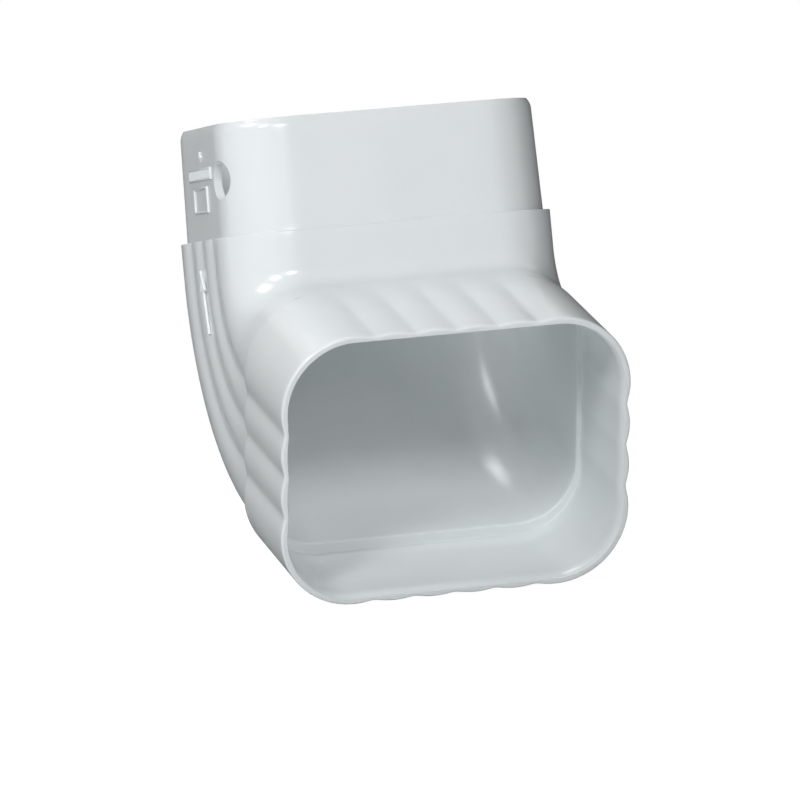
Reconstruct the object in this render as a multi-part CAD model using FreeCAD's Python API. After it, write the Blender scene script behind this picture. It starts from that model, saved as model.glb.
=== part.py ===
import FreeCAD, Part
import math
import os

# Downspout elbow, one moulded piece: a plain spigot on top, a shoulder, a grooved body
# that bends towards the front, and a fluted bell socket that the next pipe pushes into.
# Millimetres. +Z runs up the spigot, X across the wide side, the front faces -Y.
# The origin is the centre of the shoulder.

# Body section, outside, measured over the lands between the grooves
BODY_WIDTH = 82.5
BODY_DEPTH = 63.5
CORNER_RADIUS = 16.5
WALL = 2.0

# Flutes: flat lands with narrow grooves on the body, round lobes on the bell
WIDE_FLUTES = 5
NARROW_FLUTES = 3
WIDE_FLUTE_DEPTH = 0.5
NARROW_FLUTE_DEPTH = 0.75
GROOVE_WIDTH = 3.2
SOCKET_FLUTE_DEPTH = 0.25

# Path of the body from the shoulder to the bell
STRAIGHT_LENGTH = 9.0
BEND_ANGLE = 70.0
INNER_BEND_RADIUS = 5.0
RUN_LENGTH = 5.7

# Spigot above the shoulder, with draft in degrees and a lead-in at its end
SPIGOT_LENGTH = 27.0
SPIGOT_CORNER = 16.0
SPIGOT_DRAFT = 1.35
SPIGOT_LEAD_LENGTH = 2.4
SPIGOT_LEAD_INSET = 0.6
SHOULDER_STEP = 1.4
SHOULDER_COVE = 0.5
COVE_BANDS = 2

# Bell socket, flush with the body on top and stepped out on its other sides
BELL_LENGTH = 32.0
BELL_STEP = 1.25
STOP_THICKNESS = 2.0
RIM_CHAMFER = 0.5
MOUTH_LEAD_LENGTH = 2.0
MOUTH_LEAD_INSET = 0.6

# Screw hole through the left side of the spigot
HOLE_DIAMETER = 9.2
HOLE_DROP = 13.4
HOLE_FORWARD = 16.8

# Flutes of the narrow and the wide sides, in this order
FLUTE_COUNTS = (NARROW_FLUTES, WIDE_FLUTES)
FLUTE_DEPTHS = (NARROW_FLUTE_DEPTH, WIDE_FLUTE_DEPTH)
SOCKET_FLUTE_DEPTHS = (SOCKET_FLUTE_DEPTH, SOCKET_FLUTE_DEPTH)

# How the four sides of a section are drawn, in the order right, front, left, back
PLAIN = ("plain", "plain", "plain", "plain")
GROOVED_BEHIND = ("grooved", "plain", "grooved", "grooved")
FRONT_MARKED = ("grooved", "flat", "grooved", "grooved")
FRONT_FLUTED = ("grooved", "fluted", "grooved", "grooved")
FLUTED_ACROSS = ("fluted", "plain", "fluted", "plain")
FLUTED = ("fluted", "fluted", "fluted", "fluted")


def section_turn(turn):
    """Rotation from a section's own axes (across, front, along the flow) to the part's."""
    return FreeCAD.Rotation(FreeCAD.Vector(1, 0, 0), 180 - turn)


def flow_direction(turn):
    return section_turn(turn).multVec(FreeCAD.Vector(0, 0, 1))


def front_direction(turn):
    return section_turn(turn).multVec(FreeCAD.Vector(0, 1, 0))


# Stations along the path
BEND_RADIUS = BODY_DEPTH / 2 + INNER_BEND_RADIUS
SHOULDER = FreeCAD.Vector(0, 0, 0)
BEND_START = SHOULDER + flow_direction(0) * STRAIGHT_LENGTH
BEND_END = BEND_START + (front_direction(0) - front_direction(BEND_ANGLE)) * BEND_RADIUS
BODY_END = BEND_END + flow_direction(BEND_ANGLE) * RUN_LENGTH
BELL_START = BODY_END - front_direction(BEND_ANGLE) * BELL_STEP


def set_at(shape, station, turn):
    """Place a shape that was drawn in its section's own axes."""
    shape.Placement = FreeCAD.Placement(station, section_turn(turn))
    return shape


def straight_run(points):
    """Straight edges through the points in order."""
    return [Part.LineSegment(first, last).toShape() for first, last in zip(points, points[1:])]


def grooved_side(start, end, grooves, depth):
    """One side of a section, from corner to corner, as flat lands with V grooves between them."""
    along = (end - start).normalize()
    inward = FreeCAD.Vector(-along.y, along.x, 0)
    pitch = start.distanceToPoint(end) / grooves
    points = [start]
    for groove in range(grooves):
        middle = start + along * (pitch * (groove + 0.5))
        points.append(middle - along * (GROOVE_WIDTH / 2))
        points.append(middle + inward * depth)
        points.append(middle + along * (GROOVE_WIDTH / 2))
    return straight_run(points + [end])


def fluted_side(start, end, grooves, depth):
    """One side of a section, from corner to corner, as round lobes that meet in sharp grooves."""
    along = (end - start).normalize()
    inward = FreeCAD.Vector(-along.y, along.x, 0)
    pitch = start.distanceToPoint(end) / grooves
    lobe_radius = (pitch ** 2 / 4 + depth ** 2) / (2 * depth)
    half_turn = math.asin(pitch / 2 / lobe_radius)

    def lobe_point(crest, angle):
        drop = lobe_radius * (1 - math.cos(angle))
        return start + along * (crest + lobe_radius * math.sin(angle)) + inward * drop

    def lobe(crest, first, last):
        middle = lobe_point(crest, (first + last) / 2)
        return Part.Arc(lobe_point(crest, first), middle, lobe_point(crest, last)).toShape()

    edges = [lobe(0, 0, half_turn)]
    for groove in range(1, grooves):
        edges.append(lobe(groove * pitch, -half_turn, half_turn))
    edges.append(lobe(grooves * pitch, -half_turn, 0))
    return edges


def flat_side(start, end, grooves):
    """One straight side, cut where the grooves of a fluted side would be."""
    shares = [(groove + 0.5) / grooves for groove in range(grooves)]
    return straight_run([start] + [start + (end - start) * share for share in shares] + [end])


def side_edges(start, end, grooves, depth, style):
    """One side of a section, drawn in the style that is named."""
    if style == "fluted":
        return fluted_side(start, end, grooves, depth)
    if style == "grooved":
        return grooved_side(start, end, grooves, depth)
    if style == "flat":
        return flat_side(start, end, grooves)
    return straight_run([start, end])


def section(width, depth, corner, height, sides=PLAIN, flute_depths=FLUTE_DEPTHS):
    """Closed outline of a rounded rectangle at a height along the flow."""
    across = width / 2 - corner
    ahead = depth / 2 - corner
    turns = ((across, -ahead, 0), (across, ahead, 90), (-across, ahead, 180), (-across, -ahead, 270))

    def on_corner(index, angle):
        x, y, _ = turns[index % 4]
        bearing = math.radians(angle)
        return FreeCAD.Vector(x + corner * math.cos(bearing), y + corner * math.sin(bearing), height)

    edges = []
    for index, style in enumerate(sides):
        bearing = turns[index][2]
        start = on_corner(index, bearing)
        end = on_corner(index + 1, bearing)
        edges += side_edges(start, end, FLUTE_COUNTS[index % 2], flute_depths[index % 2], style)
        middle = on_corner(index + 1, bearing + 45)
        edges.append(Part.Arc(end, middle, on_corner(index + 1, bearing + 90)).toShape())
    return Part.Wire(edges)


def body_section(height, sides, inset=0.0):
    return section(
        BODY_WIDTH - 2 * inset, BODY_DEPTH - 2 * inset, CORNER_RADIUS - inset, height, sides
    )


def bell_section(height, sides, inset=0.0, flute_depths=FLUTE_DEPTHS):
    grow = BELL_STEP - inset
    return section(
        BODY_WIDTH + 2 * grow, BODY_DEPTH + 2 * grow, CORNER_RADIUS + grow, height, sides, flute_depths
    )


def socket_section(height, inset):
    return bell_section(height, FLUTED_ACROSS, inset, SOCKET_FLUTE_DEPTHS)


def spigot_section(height, inset=0.0):
    """Spigot outline at a height above the shoulder, drawn in by the draft and by inset."""
    draft = height * math.tan(math.radians(SPIGOT_DRAFT))
    total = SHOULDER_STEP + draft + inset
    return section(BODY_WIDTH - 2 * total, BODY_DEPTH - 2 * total, SPIGOT_CORNER - draft, -height)


def bore_section(height):
    """Straight inside of the spigot, a wall's thickness in from the middle of its length."""
    total = SHOULDER_STEP + SPIGOT_LENGTH / 2 * math.tan(math.radians(SPIGOT_DRAFT)) + WALL
    return section(BODY_WIDTH - 2 * total, BODY_DEPTH - 2 * total, SPIGOT_CORNER - WALL, height)


def ruled(outlines):
    return Part.makeLoft(outlines, True, True)


def prism(outline, length):
    return Part.Face(outline).extrude(FreeCAD.Vector(0, 0, length))


def bend(outline, radius):
    """Turn an outline towards the front about an axis that lies across the part."""
    axis_point = FreeCAD.Vector(0, radius, 0)
    return Part.Face(outline).revolve(axis_point, FreeCAD.Vector(-1, 0, 0), BEND_ANGLE)


def spigot():
    """Plain spigot that springs from the shoulder in a small cove and ends in a lead-in."""
    outlines = [spigot_section(-WALL, -SHOULDER_COVE)]
    for band in range(COVE_BANDS + 1):
        bearing = math.radians(90 * band / COVE_BANDS)
        rise = SHOULDER_COVE * (1 - math.cos(bearing))
        outlines.append(spigot_section(rise, SHOULDER_COVE * (math.sin(bearing) - 1)))
    outlines.append(spigot_section(SPIGOT_LENGTH - SPIGOT_LEAD_LENGTH))
    outlines.append(spigot_section(SPIGOT_LENGTH, SPIGOT_LEAD_INSET))
    return set_at(ruled(outlines), SHOULDER, 0)


def body():
    """Grooved body: straight under the shoulder, bent, then a run where the front flutes rise."""
    straight = set_at(prism(body_section(0, GROOVED_BEHIND), STRAIGHT_LENGTH), SHOULDER, 0)
    elbow = set_at(bend(body_section(0, GROOVED_BEHIND), BEND_RADIUS), BEND_START, 0)
    rise = [body_section(0, FRONT_MARKED), body_section(RUN_LENGTH, FRONT_FLUTED)]
    run = set_at(ruled(rise), BEND_END, BEND_ANGLE)
    return straight.fuse([elbow, run])


def bell():
    edge_start = BELL_LENGTH - RIM_CHAMFER
    barrel = prism(bell_section(0, FLUTED), edge_start)
    edge = ruled([bell_section(edge_start, FLUTED), bell_section(BELL_LENGTH, FLUTED, RIM_CHAMFER)])
    return set_at(barrel.fuse(edge), BELL_START, BEND_ANGLE)


def waterway():
    """The inside, from the spigot's end to the stop ledge in the bell."""
    top = set_at(prism(bore_section(-SPIGOT_LENGTH), SPIGOT_LENGTH + WALL), SHOULDER, 0)
    inner = body_section(0, PLAIN, WALL)
    straight = set_at(prism(body_section(WALL, PLAIN, WALL), STRAIGHT_LENGTH - WALL), SHOULDER, 0)
    elbow = set_at(bend(inner, BEND_RADIUS), BEND_START, 0)
    run = set_at(prism(inner, RUN_LENGTH + STOP_THICKNESS), BEND_END, BEND_ANGLE)
    return top.fuse([straight, elbow, run])


def socket():
    """The bell's inside, from the stop ledge to the mouth with its lead-in."""
    lead_start = BELL_LENGTH - MOUTH_LEAD_LENGTH
    barrel = prism(socket_section(STOP_THICKNESS, WALL), lead_start - STOP_THICKNESS)
    mouth = socket_section(BELL_LENGTH, WALL - MOUTH_LEAD_INSET)
    lead = ruled([socket_section(lead_start, WALL), mouth])
    return set_at(barrel.fuse(lead), BELL_START, BEND_ANGLE)


def screw_hole():
    centre = FreeCAD.Vector(-BODY_WIDTH / 2, -HOLE_FORWARD, SPIGOT_LENGTH - HOLE_DROP)
    return Part.makeCylinder(HOLE_DIAMETER / 2, BODY_WIDTH / 2, centre, FreeCAD.Vector(1, 0, 0))


def elbow():
    outside = body().fuse([bell(), spigot()]).removeSplitter()
    inside = waterway().fuse(socket()).removeSplitter()
    return outside.cut(inside).cut(screw_hole()).removeSplitter()


def main():
    os.makedirs("parts", exist_ok=True)
    shape = elbow()
    solid = shape.Solids[0]
    if len(shape.Solids) != 1 or not solid.isValid():
        raise ValueError("the elbow has to be one valid solid")
    solid.exportStep("parts/elbow.step")
    print("volume", round(solid.Volume / 1000, 2), "cm3", "faces", len(solid.Faces))


main()
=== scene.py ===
import math
from typing import NamedTuple

import bmesh
import bpy
import numpy as np
from mathutils import Matrix, Vector


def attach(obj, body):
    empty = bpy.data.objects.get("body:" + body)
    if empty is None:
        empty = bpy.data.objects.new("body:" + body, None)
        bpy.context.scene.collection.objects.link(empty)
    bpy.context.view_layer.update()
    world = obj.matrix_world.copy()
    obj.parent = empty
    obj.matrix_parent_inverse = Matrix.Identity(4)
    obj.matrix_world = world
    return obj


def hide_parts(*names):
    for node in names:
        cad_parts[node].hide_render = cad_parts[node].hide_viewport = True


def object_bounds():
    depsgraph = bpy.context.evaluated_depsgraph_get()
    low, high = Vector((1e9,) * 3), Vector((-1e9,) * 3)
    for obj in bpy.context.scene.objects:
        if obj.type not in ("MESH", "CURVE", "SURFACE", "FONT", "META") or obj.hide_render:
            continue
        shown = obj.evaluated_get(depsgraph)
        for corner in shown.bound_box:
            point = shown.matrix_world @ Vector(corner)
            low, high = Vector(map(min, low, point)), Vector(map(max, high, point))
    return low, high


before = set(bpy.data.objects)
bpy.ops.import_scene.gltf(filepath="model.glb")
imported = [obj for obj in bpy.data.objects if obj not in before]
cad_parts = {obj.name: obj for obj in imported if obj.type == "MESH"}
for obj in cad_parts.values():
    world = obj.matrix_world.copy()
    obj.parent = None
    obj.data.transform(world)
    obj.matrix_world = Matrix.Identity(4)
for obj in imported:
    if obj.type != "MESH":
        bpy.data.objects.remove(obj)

CAD_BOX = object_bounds()
CAD_CENTRE = (CAD_BOX[0] + CAD_BOX[1]) / 2

bl_info = {
    "name": "Downspout elbow",
    "version": (1, 0, 0),
    "blender": (4, 5, 0),
    "location": "View3D > Sidebar > Elbow",
    "description": "Dresses the packed downspout elbow as white moulded vinyl on a plain pale stage",
    "category": "Object",
}

MM = 0.001

# Fineness of the shell's grid around the flow: points on half a flute and on a corner, and the power that
# draws the points of a flute towards its groove
HALF_FLUTE_STEPS = 8
CORNER_STEPS = 20
GROOVE_CROWDING = 1.5

# Fineness of the shell's grid along the flow: steps on each rounding and each length, outside and then inside
EDGE_STEPS = 4
ROUND_STEPS = 5
SPIGOT_STEPS = 15
STRAIGHT_STEPS = 6
BEND_STEPS = 56
RUN_STEPS = 7
BELL_STEPS = 21
SOCKET_STEPS = 13
WAY_RUN_STEPS = 5
WAY_BEND_STEPS = 44
WAY_STRAIGHT_STEPS = 3
BORE_STEPS = 11

# Places on the spigot's lead-in, as shares of its length
LEAD_SHARES = (0.75, 0.5, 0.25)
# How much of the mouth's lead-in is left halfway along it
HALFWAY_LEAD = 0.35
# Distance along the flow between two outlines that make one sharp step
STEP_GAP = 0.05 * MM
# Groove depths of the right, front, left and back side where there are no grooves
NO_FLUTES = (0, 0, 0, 0)

# Corners of the round hole and of a round bead
HOLE_SEGMENTS = 96
BEAD_SEGMENTS = 14
# Angles in degrees past which an edge stays sharp
SHELL_SHARP = 38
MARKS_SHARP = 60

# Vinyl: sizes of its patterns, how far they go, and its index of refraction
VINYL = "white_rigid_vinyl_moulded"
CLOUD_SIZE = 18 * MM
CLOUD_STRETCH = (1.0, 1.0, 0.45)
HAZE_SIZE = 9 * MM
HAZE_SPREAD = 0.03
WAVE_LENGTH = 4 * MM
WAVE_HEIGHT = 0.05 * MM
WAVE_STRENGTH = 0.05
VINYL_IOR = 1.53

# Floor: half of its side, its drop below the part, the distances between which it goes over to white, how
# white it is at the nearer one, and the level of that white
FLOOR_HALF = 3.0
FLOOR_DROP = 0.2 * MM
FLOOR_NEAR = 0.06
FLOOR_FAR = 0.3
FLOOR_NEAR_SHARE = 0.85
FLOOR_WHITE = 1.1

# Upright flags: name, degrees right of the front and width in metres
FLAGS = (
    ("left_flag", -155, 0.5),
    ("right_flag", 150, 0.5),
    ("side_flag", 105, 0.4),
)
FLAG_DISTANCE = 0.4
FLAG_HEIGHT = 0.6
# Flag on the ground: half of its side, and its drop below the part
GROUND_HALF = 0.5
GROUND_DROP = 0.1 * MM

# Square lamps: name, degrees right of the front, degrees up, side in metres and power in watts
LAMPS = (
    ("key_softbox", -8, 21, 0.22, 3.3),
    ("left_softbox", -38, 29, 0.2, 3.4),
    ("side_softbox", -72, 42, 0.35, 3.3),
    ("top_softbox", 180, 75, 0.35, 2.5),
    ("back_softbox", 180, 35, 0.35, 1.5),
)
LAMP_DISTANCE = 1.1

# Camera: side of the picture in pixels, sensor width in millimetres and clipping distances in metres
PICTURE_SIDE = 800
SENSOR_WIDTH = 36.0
CLIP_START = 0.05
CLIP_END = 50.0


def linear(hex_colour):
    """Linear RGBA of an sRGB hex colour."""
    values = [int(hex_colour[i:i + 2], 16) / 255 for i in (1, 3, 5)]
    return [v / 12.92 if v <= 0.04045 else ((v + 0.055) / 1.055) ** 2.4 for v in values] + [1.0]


WHITE = linear("#FFFFFF")
FLAG_BLACK = linear("#191919")


def length(name, millimetres, description):
    return bpy.props.FloatProperty(
        name=name, description=description, default=millimetres * MM, unit="LENGTH"
    )


def colour(name, hex_colour, description):
    return bpy.props.FloatVectorProperty(
        name=name, description=description, default=linear(hex_colour), size=4, subtype="COLOR"
    )


def angle(name, degrees, description):
    return bpy.props.FloatProperty(
        name=name, description=description, default=math.radians(degrees), subtype="ANGLE"
    )


def factor(name, value, description):
    return bpy.props.FloatProperty(name=name, description=description, default=value, subtype="FACTOR")


class ElbowShellSettings(bpy.types.PropertyGroup):
    """Sizes of the moulded shell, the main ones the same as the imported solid's."""

    body_width: length("Body width", 82.5, "Width over the flutes")
    body_depth: length("Body depth", 63.5, "Depth over the flutes")
    corner: length("Corner radius", 16.5, "Outer corner radius of the body")
    wall: length("Wall", 2.0, "Wall thickness")
    wide_flutes: bpy.props.IntProperty(
        name="Wide flutes", description="Grooves across a wide side", default=5
    )
    narrow_flutes: bpy.props.IntProperty(
        name="Narrow flutes", description="Grooves across a narrow side", default=3
    )
    wide_depth: length("Wide flute depth", 0.5, "Depth of the grooves of a wide side")
    narrow_depth: length("Narrow flute depth", 0.75, "Depth of the grooves of a narrow side")
    socket_depth: length("Socket flute depth", 0.25, "Depth of the grooves inside the bell")
    groove_softness: factor("Groove softness", 0.22, "Rounding of a groove, as a share of half its pitch")
    lobe_power: bpy.props.FloatProperty(
        name="Lobe power", description="Power of the fall from a crest to a groove", default=2.0
    )
    straight: length("Straight length", 9.0, "Body length from the shoulder to the bend")
    bend_angle: angle("Bend angle", 70, "Angle of the bend")
    inner_bend: length("Inner bend radius", 5.0, "Radius of the bend on its inner side")
    run: length("Run length", 5.7, "Body length from the bend to the bell")
    flute_rise: length("Flute rise", 16.0, "Length over which the front flutes come up")
    spigot_length: length("Spigot length", 27.0, "Spigot height above the shoulder")
    spigot_corner: length("Spigot corner", 16.0, "Corner radius at the foot of the spigot")
    spigot_draft: angle("Spigot draft", 1.35, "Taper of the spigot")
    lead_length: length("Spigot lead length", 2.4, "Length of the spigot's lead-in")
    lead_inset: length("Spigot lead inset", 0.6, "Inset of the spigot's lead-in")
    shoulder_step: length("Shoulder step", 1.4, "How far the body stands out from the spigot")
    cove: length("Shoulder cove", 0.3, "Radius where the spigot rises from the shoulder")
    edge: length("Edge radius", 0.2, "Rounding of the moulded outer edges")
    bell_length: length("Bell length", 32.0, "Length of the bell")
    bell_step: length("Bell step", 1.25, "How far the bell stands out at its sides")
    rim_edge: length("Rim radius", 0.6, "Rounding of the bell's rim")
    stop: length("Stop thickness", 2.0, "Thickness of the ledge inside the bell")
    stop_edge: length("Stop edge", 0.4, "Rounding of the ledge inside the bell")
    mouth_length: length("Mouth lead length", 2.0, "Length of the lead-in inside the mouth")
    mouth_inset: length("Mouth lead inset", 0.6, "Width of the lead-in inside the mouth")
    hole_diameter: length("Hole diameter", 9.2, "Diameter of the screw hole")
    hole_drop: length("Hole drop", 13.4, "Hole centre below the spigot's end")
    hole_forward: length("Hole forward", 16.8, "Hole centre in front of the spigot's middle")


class ElbowFinishSettings(bpy.types.PropertyGroup):
    """Colours and finish of the vinyl."""

    vinyl: colour("Vinyl", "#E9EDEE", "Body colour of the vinyl")
    vinyl_shade: colour("Vinyl shade", "#E1E6E8", "Colour of the faint flow clouds in the vinyl")
    roughness: factor("Roughness", 0.22, "Roughness of the moulded skin")


class ElbowMarkSettings(bpy.types.PropertyGroup):
    """Places and sizes of the plain raised marks on the left side."""

    bead: length("Bead radius", 0.45, "Radius of the raised lines")
    arrow_forward: length("Arrow forward", 1.3, "Small arrow in front of the middle of the side")
    arrow_up: length("Arrow up", 20.2, "Middle of the small arrow above the shoulder")
    arrow_width: length("Arrow width", 1.8, "Width of the small arrow")
    arrow_height: length("Arrow height", 2.0, "Height of the small arrow")
    bar_forward: length("Bar forward", 0.4, "Middle of the ribbed bar in front of the middle of the side")
    bar_up: length("Bar up", 15.8, "Middle of the ribbed bar above the shoulder")
    bar_width: length("Bar width", 19.0, "Width of the ribbed bar")
    bar_height: length("Bar height", 2.3, "Height of the ribbed bar")
    ribs: bpy.props.IntProperty(name="Ribs", description="Upright ribs in the bar", default=15)
    panel_forward: length("Panel forward", -0.1, "Middle of the empty panel in front of the middle")
    panel_up: length("Panel up", 9.7, "Middle of the empty panel above the shoulder")
    panel_width: length("Panel width", 11.8, "Width of the empty panel")
    panel_height: length("Panel height", 5.7, "Height of the empty panel")
    flow_top: length("Flow arrow top", -7.3, "Point of the body's arrow above the shoulder")
    flow_top_forward: length("Flow arrow top forward", -1.8, "Point of the body's arrow before the middle")
    flow_foot: length("Flow arrow foot", -22.3, "Foot of the body's arrow above the shoulder")
    flow_foot_forward: length("Flow arrow foot forward", 0.9, "Foot of the body's arrow before the middle")
    flow_sink: length("Flow arrow sink", 0.2, "How far the body's arrow lies below the crests of the flutes")
    flow_head: length("Flow arrow head", 4.6, "Length of the barbs of the body's arrow")
    flow_spread: length("Flow arrow spread", 1.5, "How far each barb of the body's arrow stands out")


class ElbowStageSettings(bpy.types.PropertyGroup):
    """Camera, floor and light."""

    camera_distance: length("Camera distance", 1800.0, "Distance from the camera to its target")
    azimuth: angle("Azimuth", 16.18, "Camera angle to the left of the front")
    elevation: angle("Elevation", 0.10, "Camera angle above the horizon")
    roll: angle("Roll", 5.35, "How far the camera leans")
    target_across: length("Target across", 4.78, "X of the point the camera looks at")
    target_up: length("Target up", -42.16, "Z of the point the camera looks at")
    focal_pixels: bpy.props.FloatProperty(
        name="Focal length in pixels", description="Focal length for the square picture", default=7484.9
    )
    floor: colour("Floor", "#F4F5F5", "Colour of the floor")
    room: colour("Room", "#F2F5F7", "Colour of the light from the room")
    room_strength: bpy.props.FloatProperty(
        name="Room strength", description="Level of the light from the room", default=0.02
    )


def add_node(tree, kind, inputs=None, **settings):
    """Add a node, with its settings, and with its inputs linked or set."""
    node = tree.nodes.new(kind)
    for name, value in settings.items():
        setattr(node, name, value)
    for key, value in (inputs or {}).items():
        if isinstance(value, bpy.types.NodeSocket):
            tree.links.new(value, node.inputs[key])
        else:
            node.inputs[key].default_value = value
    return node


def emptied_tree(owner):
    """Node tree of a new material or world, with its first nodes taken out."""
    owner.use_nodes = True
    owner.node_tree.nodes.clear()
    return owner.node_tree


# White rigid vinyl, injection moulded: a bright, slightly cool white with a semi-gloss skin. The mould
# leaves soft broad highlights, faint cloudy flow marks and a very fine orange peel.
def make_vinyl(finish):
    material = bpy.data.materials.new(VINYL)
    tree = emptied_tree(material)
    place = add_node(tree, "ShaderNodeTexCoord").outputs["Object"]
    # Flow clouds, drawn out along the flow of the spigot
    stretched = add_node(
        tree, "ShaderNodeMapping", {"Vector": place, "Scale": CLOUD_STRETCH}
    ).outputs["Vector"]
    clouds = add_node(
        tree, "ShaderNodeTexNoise",
        {"Vector": stretched, "Scale": 1 / CLOUD_SIZE, "Detail": 2.0, "Roughness": 0.5},
    ).outputs["Fac"]
    tint = add_node(
        tree, "ShaderNodeMix",
        {"Factor": clouds, "A": finish.vinyl, "B": finish.vinyl_shade}, data_type="RGBA",
    )
    # Handling haze makes the gloss uneven
    haze = add_node(
        tree, "ShaderNodeTexNoise", {"Vector": place, "Scale": 1 / HAZE_SIZE, "Detail": 1.0}
    ).outputs["Fac"]
    low, high = finish.roughness - HAZE_SPREAD, finish.roughness + HAZE_SPREAD
    gloss = add_node(
        tree, "ShaderNodeMapRange", {"Value": haze, "To Min": low, "To Max": high}
    ).outputs["Result"]
    # The orange peel is too fine to show, so it is drawn as soft waves of the skin
    peel = add_node(
        tree, "ShaderNodeTexNoise", {"Vector": place, "Scale": 1 / WAVE_LENGTH, "Detail": 0.0}
    ).outputs["Fac"]
    skin = add_node(
        tree, "ShaderNodeBump", {"Strength": WAVE_STRENGTH, "Distance": WAVE_HEIGHT, "Height": peel}
    ).outputs["Normal"]
    shader = add_node(
        tree, "ShaderNodeBsdfPrincipled",
        {"Base Color": tint.outputs[2], "Roughness": gloss, "IOR": VINYL_IOR, "Normal": skin},
    )
    add_node(tree, "ShaderNodeOutputMaterial", {"Surface": shader.outputs["BSDF"]})
    return material


def flute_places(count):
    """Places along a side in pitches, and the distance to the nearest groove in half pitches.

    The places lie closer together near the grooves. A side starts on a crest, and leaves out its end.
    """
    half = (np.arange(HALF_FLUTE_STEPS) / HALF_FLUTE_STEPS) ** GROOVE_CROWDING
    near = np.append(half, 1.0)
    one = np.concatenate((0.5 - near[:0:-1] / 2, 0.5 + half / 2))
    distance = np.concatenate((near[:0:-1], half))
    places = np.concatenate([one + flute for flute in range(count)])
    return places, np.tile(distance, count)


def outline(width, depth, corner, settings):
    """Points of a rounded rectangle, with the inward direction, groove distance and side of each.

    The points start on the right side, and every outline has the same number of them. The sides are
    0 right, 1 front, 2 left and 3 back, and a corner is -1.
    """
    across, ahead = width / 2 - corner, depth / 2 - corner
    centres = np.array(((across, -ahead), (across, ahead), (-across, ahead), (-across, -ahead)))
    counts = (settings.narrow_flutes, settings.wide_flutes) * 2
    points, inward, distance, side = [], [], [], []
    for index, count in enumerate(counts):
        bearing = math.radians(90 * index)
        out = np.array((math.cos(bearing), math.sin(bearing)))
        centre = centres[(index + 1) % 4]
        first, last = centres[index] + out * corner, centre + out * corner
        places, near = flute_places(count)
        points.append(first + np.outer(places / count, last - first))
        inward.append(np.tile(-out, (len(places), 1)))
        distance.append(near)
        side.append(np.full(len(places), index))
        turns = bearing + np.linspace(0, math.pi / 2, CORNER_STEPS, endpoint=False)
        ways = np.column_stack((np.cos(turns), np.sin(turns)))
        points.append(centre + ways * corner)
        inward.append(-ways)
        distance.append(np.ones(CORNER_STEPS))
        side.append(np.full(CORNER_STEPS, -1))
    return [np.concatenate(parts) for parts in (points, inward, distance, side)]


def smooth_step(value):
    value = min(max(value, 0.0), 1.0)
    return value * value * (3 - 2 * value)


class Station(NamedTuple):
    """One outline of the straightened shell at a place along the flow.

    The flutes are the groove depths of the right, front, left and back side.
    """

    along: float
    width: float
    depth: float
    corner: float
    forward: float
    flutes: tuple


def arc_steps(count):
    """Sine and one minus cosine over a quarter turn."""
    turns = np.linspace(0, math.pi / 2, count + 1)
    return list(zip(np.sin(turns), 1 - np.cos(turns)))


def places_after(*lengths):
    """Even steps along lengths given as start, end and number of steps, each without its start."""
    return np.concatenate([np.linspace(start, end, steps + 1)[1:] for start, end, steps in lengths])


def bend_radius(s):
    """Radius of the bend at the middle of the section."""
    return s.body_depth / 2 + s.inner_bend


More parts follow.
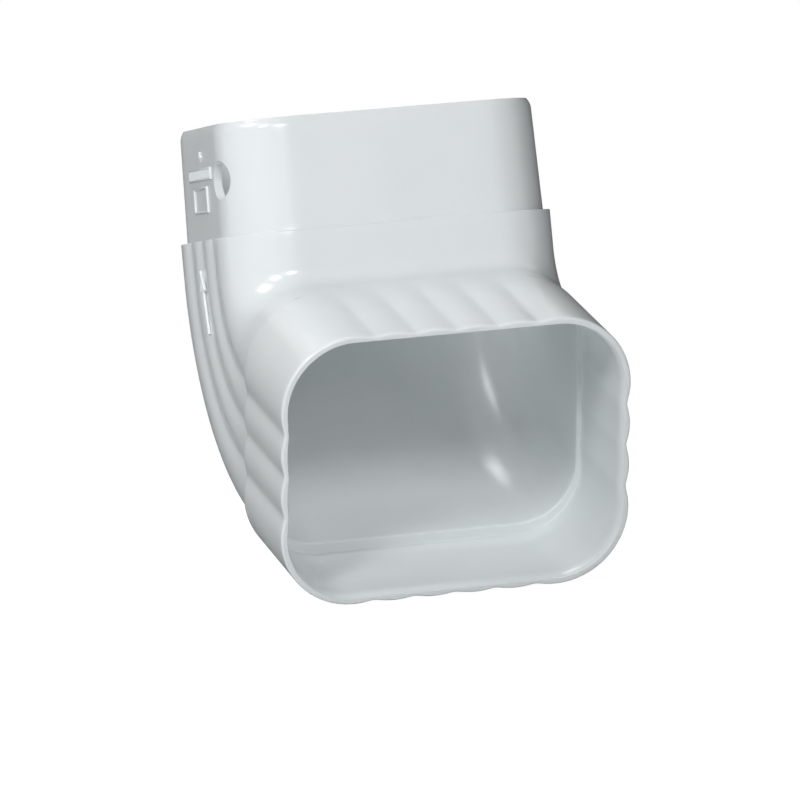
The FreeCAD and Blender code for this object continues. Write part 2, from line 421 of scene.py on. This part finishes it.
def shell_stations(s):
    """Stations down the outside, round the rim, and back up the inside to the spigot's end."""
    bend_end = s.straight + bend_radius(s) * s.bend_angle
    bell_start = bend_end + s.run
    mouth = bell_start + s.bell_length
    stop_face = bell_start + s.stop
    lead_start = s.spigot_length - s.lead_length
    taper = math.tan(s.spigot_draft)
    stations = []

    def add(along, grow, corner, forward=0.0, flutes=NO_FLUTES):
        width, depth = s.body_width + 2 * grow, s.body_depth + 2 * grow
        stations.append(Station(along, width, depth, corner, forward, flutes))

    def outer_flutes(along):
        front = s.wide_depth * smooth_step((along - bend_end) / s.flute_rise)
        return (s.narrow_depth, front, s.narrow_depth, s.wide_depth)

    def spigot(height, inset=0.0, shrink=0.0):
        total = s.shoulder_step + height * taper + inset
        add(-height, -total, s.spigot_corner - height * taper - shrink)

    def body(along, inset=0.0):
        add(along, -inset, s.corner - inset, flutes=outer_flutes(along))

    def bell(along, inset=0.0, flush=False):
        grow = s.bell_step - inset
        add(along, grow, s.corner + grow, -grow if flush else -s.bell_step, outer_flutes(along))

    def socket(along, inset):
        grow = s.bell_step - inset
        add(along, grow, s.corner + grow, -s.bell_step, (s.socket_depth, 0, s.socket_depth, 0))

    def waterway(along, inset):
        add(along, -inset, s.corner - inset)

    # Spigot: rounded lip, lead-in, drafted wall, cove on the shoulder
    for sine, rise in arc_steps(EDGE_STEPS):
        spigot(s.spigot_length - s.edge * rise, s.lead_inset + s.edge * (1 - sine))
    for share in LEAD_SHARES:
        spigot(lead_start + (s.lead_length - s.edge) * share, s.lead_inset * share * share)
    for share in np.linspace(1.0, 0.0, SPIGOT_STEPS + 1):
        spigot(s.cove + (lead_start - s.cove) * share)
    for sine, rise in arc_steps(ROUND_STEPS)[1:]:
        spigot(s.cove * (1 - sine), -s.cove * rise, -s.cove * rise)
    # Shoulder ring and its outer edge
    for sine, rise in arc_steps(EDGE_STEPS):
        body(s.edge * rise, s.edge * (1 - sine))
    # Body: straight, bend and run
    for along in places_after(
        (s.edge, s.straight, STRAIGHT_STEPS),
        (s.straight, bend_end, BEND_STEPS),
        (bend_end, bell_start - STEP_GAP, RUN_STEPS),
    ):
        body(along)
    # Bell: rounded step that is flush in front, wall, rounded rim
    for sine, rise in arc_steps(EDGE_STEPS):
        bell(bell_start + s.edge * rise, s.edge * (1 - sine), flush=True)
    for along in places_after((bell_start + s.edge, mouth - s.rim_edge, BELL_STEPS)):
        bell(along)
    for sine, rise in arc_steps(ROUND_STEPS)[1:]:
        bell(mouth - s.rim_edge * (1 - sine), s.rim_edge * rise)
    # Inside of the bell: lead-in, wall, ledge
    socket(mouth, s.wall - s.mouth_inset)
    socket(mouth - 0.5 * s.mouth_length, s.wall - HALFWAY_LEAD * s.mouth_inset)
    for along in np.linspace(mouth - s.mouth_length, stop_face + s.stop_edge, SOCKET_STEPS + 1):
        socket(along, s.wall)
    for sine, rise in arc_steps(EDGE_STEPS)[1:]:
        socket(stop_face + s.stop_edge * (1 - sine), s.wall + s.stop_edge * rise)
    for sine, rise in arc_steps(EDGE_STEPS):
        waterway(stop_face - s.stop_edge * rise, s.wall - s.stop_edge * (1 - sine))
    # Waterway back through the bend
    for along in places_after(
        (stop_face - s.stop_edge, bend_end, WAY_RUN_STEPS),
        (bend_end, s.straight, WAY_BEND_STEPS),
        (s.straight, s.wall, WAY_STRAIGHT_STEPS),
    ):
        waterway(along, s.wall)
    # Bore of the spigot
    bore = s.shoulder_step + s.spigot_length / 2 * taper + s.wall
    for along in np.linspace(s.wall - STEP_GAP, -s.spigot_length + s.edge, BORE_STEPS + 1):
        add(along, -bore, s.spigot_corner - s.wall)
    return stations


def shell_grid(s):
    """Straightened shell as a closed grid, with the attributes that the flutes are made from."""
    points, inward, distance, depth = [], [], [], []
    stations = shell_stations(s)
    for station in stations:
        loop, way, near, side = outline(station.width, station.depth, station.corner, s)
        loop = loop + (0.0, station.forward)
        points.append(np.column_stack((loop, np.full(len(loop), station.along))))
        inward.append(np.column_stack((way, np.zeros(len(way)))))
        distance.append(near)
        # The side of a corner is -1, which takes the last depth
        depth.append(np.array((*station.flutes, 0.0))[side])
    rows, around = len(stations), len(points[0])
    faces = []
    for row in range(rows):
        here, there = row * around, (row + 1) % rows * around
        for i in range(around):
            j = (i + 1) % around
            faces.append((here + i, here + j, there + j, there + i))
    mesh = bpy.data.meshes.new("elbow_shell")
    mesh.from_pydata(np.concatenate(points).tolist(), [], faces)
    directions = mesh.attributes.new("inward", "FLOAT_VECTOR", "POINT")
    directions.data.foreach_set("vector", np.concatenate(inward).ravel())
    for name, values in (("groove_distance", distance), ("groove_depth", depth)):
        layer = mesh.attributes.new(name, "FLOAT", "POINT")
        layer.data.foreach_set("value", np.concatenate(values))
    return mesh


SHELL_ATTRIBUTES = {"inward": "FLOAT_VECTOR", "groove_distance": "FLOAT", "groove_depth": "FLOAT"}
SHELL_INPUTS = ("Groove Softness", "Lobe Power", "Bend Start", "Bend Radius", "Bend Angle")

# Arithmetic of the shell: a result's name, the operation, and its operands by name or as numbers
SHELL_STEPS = (
    # Groove: a soft dip that falls from the crest with the given power
    ("softness_squared", "MULTIPLY", "Groove Softness", "Groove Softness"),
    ("distance_squared", "MULTIPLY", "groove_distance", "groove_distance"),
    ("sum_squared", "ADD", "distance_squared", "softness_squared"),
    ("softened", "SQRT", "sum_squared"),
    ("capped", "MINIMUM", "softened", 1.0),
    ("nearness", "SUBTRACT", 1.0, "capped"),
    ("nearest", "SUBTRACT", 1.0, "Groove Softness"),
    ("share", "DIVIDE", "nearness", "nearest"),
    ("profile", "POWER", "share", "Lobe Power"),
    ("drop", "MULTIPLY", "profile", "groove_depth"),
    # Bend: the flow turns from down to the front about an axis across the part
    ("past", "SUBTRACT", "Z", "Bend Start"),
    ("free_turn", "DIVIDE", "past", "Bend Radius"),
    ("held_turn", "MINIMUM", "free_turn", "Bend Angle"),
    ("turn", "MAXIMUM", "held_turn", 0.0),
    ("turned", "MULTIPLY", "turn", "Bend Radius"),
    ("rest", "SUBTRACT", "past", "turned"),
    ("sine", "SINE", "turn"),
    ("cosine", "COSINE", "turn"),
    ("lean", "SUBTRACT", "cosine", 1.0),
    ("arc_back", "MULTIPLY", "lean", "Bend Radius"),
    ("run_back", "MULTIPLY", "rest", "sine"),
    ("path_back", "SUBTRACT", "arc_back", "run_back"),
    ("section_back", "MULTIPLY", "Y", "cosine"),
    ("back", "SUBTRACT", "path_back", "section_back"),
    ("arc_down", "MULTIPLY_ADD", "sine", "Bend Radius", "Bend Start"),
    ("down", "MULTIPLY_ADD", "rest", "cosine", "arc_down"),
    ("section_up", "MULTIPLY", "Y", "sine"),
    ("up", "SUBTRACT", "section_up", "down"),
)


def begin_tree(name, inputs):
    """New geometry tree with the given inputs and kinds of socket, and the sockets that it is given."""
    tree = bpy.data.node_groups.new(name, "GeometryNodeTree")
    geometry = {"Geometry": "NodeSocketGeometry"}
    for in_out, sockets in (("INPUT", {**geometry, **inputs}), ("OUTPUT", geometry)):
        for socket, kind in sockets.items():
            tree.interface.new_socket(socket, in_out=in_out, socket_type=kind)
    return tree, add_node(tree, "NodeGroupInput").outputs


def end_tree(tree, geometry, material):
    """Make the instances of a tree real, set the material and give out the geometry."""
    whole = add_node(tree, "GeometryNodeRealizeInstances", {"Geometry": geometry}).outputs[0]
    dressed = add_node(
        tree, "GeometryNodeSetMaterial", {"Geometry": whole, "Material": material}
    ).outputs[0]
    add_node(tree, "NodeGroupOutput", {"Geometry": dressed})


def fluted_bend_tree(material):
    """Node tree that presses the flutes into a straight shell and then bends it."""
    tree, given = begin_tree("fluted_bend", dict.fromkeys(SHELL_INPUTS, "NodeSocketFloat"))
    values = {name: given[name] for name in SHELL_INPUTS}
    for name, kind in SHELL_ATTRIBUTES.items():
        values[name] = add_node(
            tree, "GeometryNodeInputNamedAttribute", {"Name": name}, data_type=kind
        ).outputs[0]
    position = add_node(tree, "GeometryNodeInputPosition").outputs[0]
    place = add_node(tree, "ShaderNodeSeparateXYZ", {0: position}).outputs
    values.update({name: place[name] for name in "XYZ"})
    for name, operation, *operands in SHELL_STEPS:
        inputs = {index: values.get(operand, operand) for index, operand in enumerate(operands)}
        values[name] = add_node(tree, "ShaderNodeMath", inputs, operation=operation).outputs[0]
    push = add_node(
        tree, "ShaderNodeVectorMath", {0: values["inward"], "Scale": values["drop"]}, operation="SCALE"
    ).outputs[0]
    fluted = add_node(
        tree, "GeometryNodeSetPosition", {"Geometry": given["Geometry"], "Offset": push}
    ).outputs[0]
    bent = add_node(
        tree, "ShaderNodeCombineXYZ", {"X": values["X"], "Y": values["back"], "Z": values["up"]}
    ).outputs[0]
    shell = add_node(tree, "GeometryNodeSetPosition", {"Geometry": fluted, "Position": bent}).outputs[0]
    end_tree(tree, shell, material)
    return tree


def raised_marks_tree(material):
    """Node tree that lays round beads along the edges of a mesh and adds a row of upright ribs."""
    tree, given = begin_tree("raised_marks", {
        "Bead Radius": "NodeSocketFloat",
        "Rib Count": "NodeSocketInt",
        "First Rib": "NodeSocketVector",
        "Rib Step": "NodeSocketVector",
        "Rib Height": "NodeSocketVector",
    })
    ring = add_node(
        tree, "GeometryNodeCurvePrimitiveCircle",
        {"Resolution": BEAD_SEGMENTS, "Radius": given["Bead Radius"]},
    ).outputs[0]
    lines = add_node(tree, "GeometryNodeMeshToCurve", {0: given["Geometry"]}).outputs[0]
    upright = add_node(tree, "GeometryNodeCurvePrimitiveLine", {"End": given["Rib Height"]}).outputs[0]
    beads, rib = (
        add_node(
            tree, "GeometryNodeCurveToMesh", {"Curve": curve, "Profile Curve": ring, "Fill Caps": True}
        ).outputs[0]
        for curve in (lines, upright)
    )
    places = add_node(
        tree, "GeometryNodeMeshLine",
        {"Count": given["Rib Count"], "Start Location": given["First Rib"], "Offset": given["Rib Step"]},
    ).outputs[0]
    ribs = add_node(tree, "GeometryNodeInstanceOnPoints", {"Points": places, "Instance": rib}).outputs[0]
    joined = add_node(tree, "GeometryNodeJoinGeometry", {0: beads})
    tree.links.new(ribs, joined.inputs[0])
    end_tree(tree, joined.outputs[0], material)
    return tree


def link_new(name, data):
    item = bpy.data.objects.new(name, data)
    bpy.context.scene.collection.objects.link(item)
    return item


def add_tree(item, tree, values):
    """Put a node tree on an object, with its inputs set by their names."""
    modifier = item.modifiers.new(tree.name, "NODES")
    modifier.node_group = tree
    for socket in tree.interface.items_tree:
        if socket.in_out == "INPUT" and socket.name in values:
            modifier[socket.identifier] = values[socket.name]


def plain_mesh(item, name):
    """Mesh of an object with its modifiers applied, as a new plain object."""
    graph = bpy.context.evaluated_depsgraph_get()
    mesh = bpy.data.meshes.new_from_object(item.evaluated_get(graph))
    mesh.name = name
    bpy.data.objects.remove(item)
    if not mesh.polygons:
        raise RuntimeError(name + " came out empty")
    return link_new(name, mesh)


def point_out(mesh):
    """Turn the faces of a closed mesh outwards."""
    work = bmesh.new()
    work.from_mesh(mesh)
    bmesh.ops.recalc_face_normals(work, faces=work.faces)
    work.to_mesh(mesh)
    work.free()


def finish_mesh(mesh, material, sharp_degrees):
    """Give a mesh its one material, and shade it smooth between its sharp edges."""
    mesh.materials.clear()
    mesh.materials.append(material)
    mesh.polygons.foreach_set("use_smooth", [True] * len(mesh.polygons))
    mesh.set_sharp_from_angle(angle=math.radians(sharp_degrees))


def hole_cutter(s):
    """Round cutter for the screw hole, through the left side of the spigot only."""
    work = bmesh.new()
    place = Matrix.Translation((-s.body_width / 2, -s.hole_forward, s.spigot_length - s.hole_drop))
    turn = Matrix.Rotation(math.radians(90), 4, "Y")
    radius = s.hole_diameter / 2
    bmesh.ops.create_cone(
        work, cap_ends=True, segments=HOLE_SEGMENTS, radius1=radius, radius2=radius,
        depth=s.body_width / 2, matrix=place @ turn,
    )
    mesh = bpy.data.meshes.new("hole_cutter")
    work.to_mesh(mesh)
    work.free()
    return link_new("hole_cutter", mesh)


class ELBOW_OT_shell(bpy.types.Operator):
    """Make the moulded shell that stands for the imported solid"""

    bl_idname = "elbow.shell"
    bl_label = "Moulded shell"

    def execute(self, context):
        s = context.scene.elbow_shell
        vinyl = make_vinyl(context.scene.elbow_finish)
        straight = link_new("elbow_straight", shell_grid(s))
        add_tree(straight, fluted_bend_tree(vinyl), {
            "Groove Softness": s.groove_softness,
            "Lobe Power": s.lobe_power,
            "Bend Start": s.straight,
            "Bend Radius": bend_radius(s),
            "Bend Angle": s.bend_angle,
        })
        shell = plain_mesh(straight, "elbow_bent")
        for name in SHELL_ATTRIBUTES:
            shell.data.attributes.remove(shell.data.attributes[name])
        point_out(shell.data)
        cutter = hole_cutter(s)
        cut = shell.modifiers.new("screw_hole", "BOOLEAN")
        cut.operation = "DIFFERENCE"
        cut.solver = "EXACT"
        cut.object = cutter
        shell = plain_mesh(shell, "elbow_shell")
        bpy.data.objects.remove(cutter)
        finish_mesh(shell.data, vinyl, SHELL_SHARP)
        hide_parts("elbow")
        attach(shell, "root")
        return {"FINISHED"}


class ELBOW_OT_marks(bpy.types.Operator):
    """Make the plain raised marks on the left side"""

    bl_idname = "elbow.marks"
    bl_label = "Raised marks"

    def execute(self, context):
        s, m = context.scene.elbow_shell, context.scene.elbow_marks
        lean = math.tan(s.spigot_draft)
        points, edges = [], []

        def on_spigot(forward, up):
            return (s.shoulder_step - s.body_width / 2 + up * lean, -forward, up)

        def on_body(forward, up):
            return (m.flow_sink - s.body_width / 2, -forward, up)

        def opened(*places):
            first = len(points)
            points.extend(places)
            edges.extend((first + i, first + i + 1) for i in range(len(places) - 1))

        def box(forward, up, width, height):
            front, back = forward + width / 2, forward - width / 2
            low, high = up - height / 2, up + height / 2
            corners = ((back, low), (front, low), (front, high), (back, high))
            opened(*(on_spigot(*corner) for corner in corners))
            edges.append((len(points) - 1, len(points) - len(corners)))

        box(m.bar_forward, m.bar_up, m.bar_width, m.bar_height)
        box(m.panel_forward, m.panel_up, m.panel_width, m.panel_height)
        top, low = m.arrow_up + m.arrow_height / 2, m.arrow_up - m.arrow_height / 2
        barb = low + m.arrow_width / 2
        tip = on_spigot(m.arrow_forward, low)
        opened(on_spigot(m.arrow_forward, top), tip)
        opened(
            on_spigot(m.arrow_forward - m.arrow_width / 2, barb), tip,
            on_spigot(m.arrow_forward + m.arrow_width / 2, barb),
        )
        # The body's arrow leans with the flutes
        slope = (m.flow_foot_forward - m.flow_top_forward) / (m.flow_top - m.flow_foot)
        middle = m.flow_top_forward + slope * m.flow_head
        barb = m.flow_top - m.flow_head
        tip = on_body(m.flow_top_forward, m.flow_top)
        opened(tip, on_body(m.flow_foot_forward, m.flow_foot))
        opened(on_body(middle - m.flow_spread, barb), tip, on_body(middle + m.flow_spread, barb))
        mesh = bpy.data.meshes.new("mark_lines")
        mesh.from_pydata(points, edges, [])
        lines = link_new("mark_lines", mesh)
        step = m.bar_width / (m.ribs + 1)
        vinyl = bpy.data.materials[VINYL]
        add_tree(lines, raised_marks_tree(vinyl), {
            "Bead Radius": m.bead,
            "Rib Count": m.ribs,
            "First Rib": on_spigot(m.bar_forward - m.bar_width / 2 + step, m.bar_up - m.bar_height / 2),
            "Rib Step": (0.0, -step, 0.0),
            "Rib Height": (m.bar_height * lean, 0.0, m.bar_height),
        })
        marks = plain_mesh(lines, "raised_marks")
        point_out(marks.data)
        finish_mesh(marks.data, vinyl, MARKS_SHARP)
        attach(marks, "root")
        return {"FINISHED"}


def direction(right, up=0.0):
    """Unit vector to the right of the front and up, by angles in radians."""
    return Vector((math.sin(right) * math.cos(up), -math.cos(right) * math.cos(up), math.sin(up)))


def add_card(name, middle, across, rise, material):
    """Flat stage card about its middle, with half of its width and of its height as vectors."""
    mesh = bpy.data.meshes.new(name)
    low, high = middle - rise, middle + rise
    mesh.from_pydata([low - across, low + across, high + across, high - across], [], [(0, 1, 2, 3)])
    mesh.materials.append(material)
    card = link_new(name, mesh)
    return card


def sees_white(tree):
    """Socket that is 1 for the rays that see the background white, and 0 for the light on the part."""
    path = add_node(tree, "ShaderNodeLightPath").outputs
    seen = path["Is Camera Ray"]
    for name in ("Is Glossy Ray", "Is Transmission Ray"):
        seen = add_node(tree, "ShaderNodeMath", {0: seen, 1: path[name]}, operation="MAXIMUM").outputs[0]
    return seen


class ELBOW_OT_stage(bpy.types.Operator):
    """Make the floor, the light and the camera"""

    bl_idname = "elbow.stage"
    bl_label = "Stage"

    def execute(self, context):
        stage = context.scene.elbow_stage
        scene = context.scene
        scene.view_settings.view_transform = "Standard"
        self.make_floor(stage)
        self.make_world(scene, stage)
        self.make_flags()
        self.make_lights()
        self.make_camera(scene, stage)
        return {"FINISHED"}

    def make_floor(self, stage):
        # Matt white sweep, which shows the shadow near the part and goes over to pure white further off
        material = bpy.data.materials.new("matt_white_sweep")
        tree = emptied_tree(material)
        place = add_node(tree, "ShaderNodeTexCoord").outputs["Object"]
        away = add_node(tree, "ShaderNodeVectorMath", {0: place}, operation="LENGTH").outputs["Value"]
        white_share = add_node(tree, "ShaderNodeMapRange", {
            "Value": away,
            "From Min": FLOOR_NEAR,
            "From Max": FLOOR_FAR,
            "To Min": FLOOR_NEAR_SHARE,
            "To Max": 1.0,
        }).outputs["Result"]
        share = add_node(
            tree, "ShaderNodeMath", {0: sees_white(tree), 1: white_share}, operation="MULTIPLY"
        ).outputs[0]
        matt = add_node(tree, "ShaderNodeBsdfDiffuse", {"Color": stage.floor}).outputs[0]
        white = add_node(tree, "ShaderNodeEmission", {"Color": WHITE, "Strength": FLOOR_WHITE}).outputs[0]
        mixed = add_node(tree, "ShaderNodeMixShader", {0: share, 1: matt, 2: white}).outputs[0]
        add_node(tree, "ShaderNodeOutputMaterial", {"Surface": mixed})
        middle = Vector((0, 0, CAD_BOX[0].z - FLOOR_DROP))
        add_card("floor", middle, Vector((FLOOR_HALF, 0, 0)), Vector((0, FLOOR_HALF, 0)), material)

    def make_world(self, scene, stage):
        world = bpy.data.worlds.new("studio")
        tree = emptied_tree(world)
        room = add_node(
            tree, "ShaderNodeBackground", {"Color": stage.room, "Strength": stage.room_strength}
        ).outputs[0]
        white = add_node(tree, "ShaderNodeBackground", {"Color": WHITE, "Strength": 1.0}).outputs[0]
        mixed = add_node(tree, "ShaderNodeMixShader", {0: sees_white(tree), 1: room, 2: white}).outputs[0]
        add_node(tree, "ShaderNodeOutputWorld", {"Surface": mixed})
        scene.world = world

    def make_flags(self):
        # Black cloth flags, which only the part's gloss shows. The upright ones draw its edges on the
        # white, and the one on the ground keeps the white floor out of the gloss of its underside.
        material = bpy.data.materials.new("black_cloth_flag")
        tree = emptied_tree(material)
        cloth = add_node(tree, "ShaderNodeBsdfDiffuse", {"Color": FLAG_BLACK}).outputs[0]
        add_node(tree, "ShaderNodeOutputMaterial", {"Surface": cloth})
        cards = []
        for name, azimuth, width in FLAGS:
            a = math.radians(azimuth)
            middle = CAD_CENTRE + direction(a) * FLAG_DISTANCE
            across = Vector((math.cos(a), math.sin(a), 0)) * width / 2
            cards.append((name, middle, across, Vector((0, 0, FLAG_HEIGHT / 2))))
        ground = Vector((CAD_CENTRE.x, CAD_CENTRE.y, CAD_BOX[0].z - GROUND_DROP))
        cards.append(("ground_flag", ground, Vector((GROUND_HALF, 0, 0)), Vector((0, GROUND_HALF, 0))))
        for card in cards:
            flag = add_card(*card, material)
            flag.visible_camera = False
            flag.visible_diffuse = False
            flag.visible_shadow = False

    def make_lights(self):
        for name, azimuth, elevation, side, power in LAMPS:
            way = direction(math.radians(azimuth), math.radians(elevation))
            data = bpy.data.lights.new(name, "AREA")
            data.shape = "SQUARE"
            data.size = side
            data.energy = power
            lamp = link_new(name, data)
            lamp.location = CAD_CENTRE + way * LAMP_DISTANCE
            lamp.rotation_euler = (-way).to_track_quat("-Z", "Y").to_euler()

    def make_camera(self, scene, stage):
        back = direction(-stage.azimuth, stage.elevation)
        right = Vector((0, 0, 1)).cross(back).normalized()
        up = back.cross(right)
        sine, cosine = math.sin(stage.roll), math.cos(stage.roll)
        axes = (right * cosine - up * sine, right * sine + up * cosine, back)
        target = Vector((stage.target_across, 0, stage.target_up))
        place = target + back * stage.camera_distance
        data = bpy.data.cameras.new("camera")
        data.sensor_width = SENSOR_WIDTH
        data.lens = stage.focal_pixels / PICTURE_SIDE * SENSOR_WIDTH
        data.clip_start = CLIP_START
        data.clip_end = CLIP_END
        camera = link_new("camera", data)
        turn = Matrix(axes).transposed()
        camera.matrix_world = Matrix.Translation(place) @ turn.to_4x4()
        scene.camera = camera


class ELBOW_PT_panel(bpy.types.Panel):
    """Sidebar panel with the elbow's pieces, its stage and their settings"""

    bl_label = "Downspout elbow"
    bl_space_type = "VIEW_3D"
    bl_region_type = "UI"
    bl_category = "Elbow"

    def draw(self, context):
        for operator in OPERATORS:
            self.layout.operator(operator.bl_idname)
        for name, group in GROUPS.items():
            box = self.layout.box()
            for setting in group.__annotations__:
                box.prop(getattr(context.scene, name), setting)


GROUPS = {
    "elbow_shell": ElbowShellSettings,
    "elbow_finish": ElbowFinishSettings,
    "elbow_marks": ElbowMarkSettings,
    "elbow_stage": ElbowStageSettings,
}
OPERATORS = (ELBOW_OT_shell, ELBOW_OT_marks, ELBOW_OT_stage)
CLASSES = (*GROUPS.values(), *OPERATORS, ELBOW_PT_panel)


def register():
    for item in CLASSES:
        bpy.utils.register_class(item)
    for name, group in GROUPS.items():
        setattr(bpy.types.Scene, name, bpy.props.PointerProperty(type=group))


def unregister():
    for name in GROUPS:
        delattr(bpy.types.Scene, name)
    for item in reversed(CLASSES):
        bpy.utils.unregister_class(item)


def main():
    register()
    bpy.ops.elbow.shell()
    bpy.ops.elbow.marks()
    bpy.ops.elbow.stage()


if __name__ == "__main__":
    main()
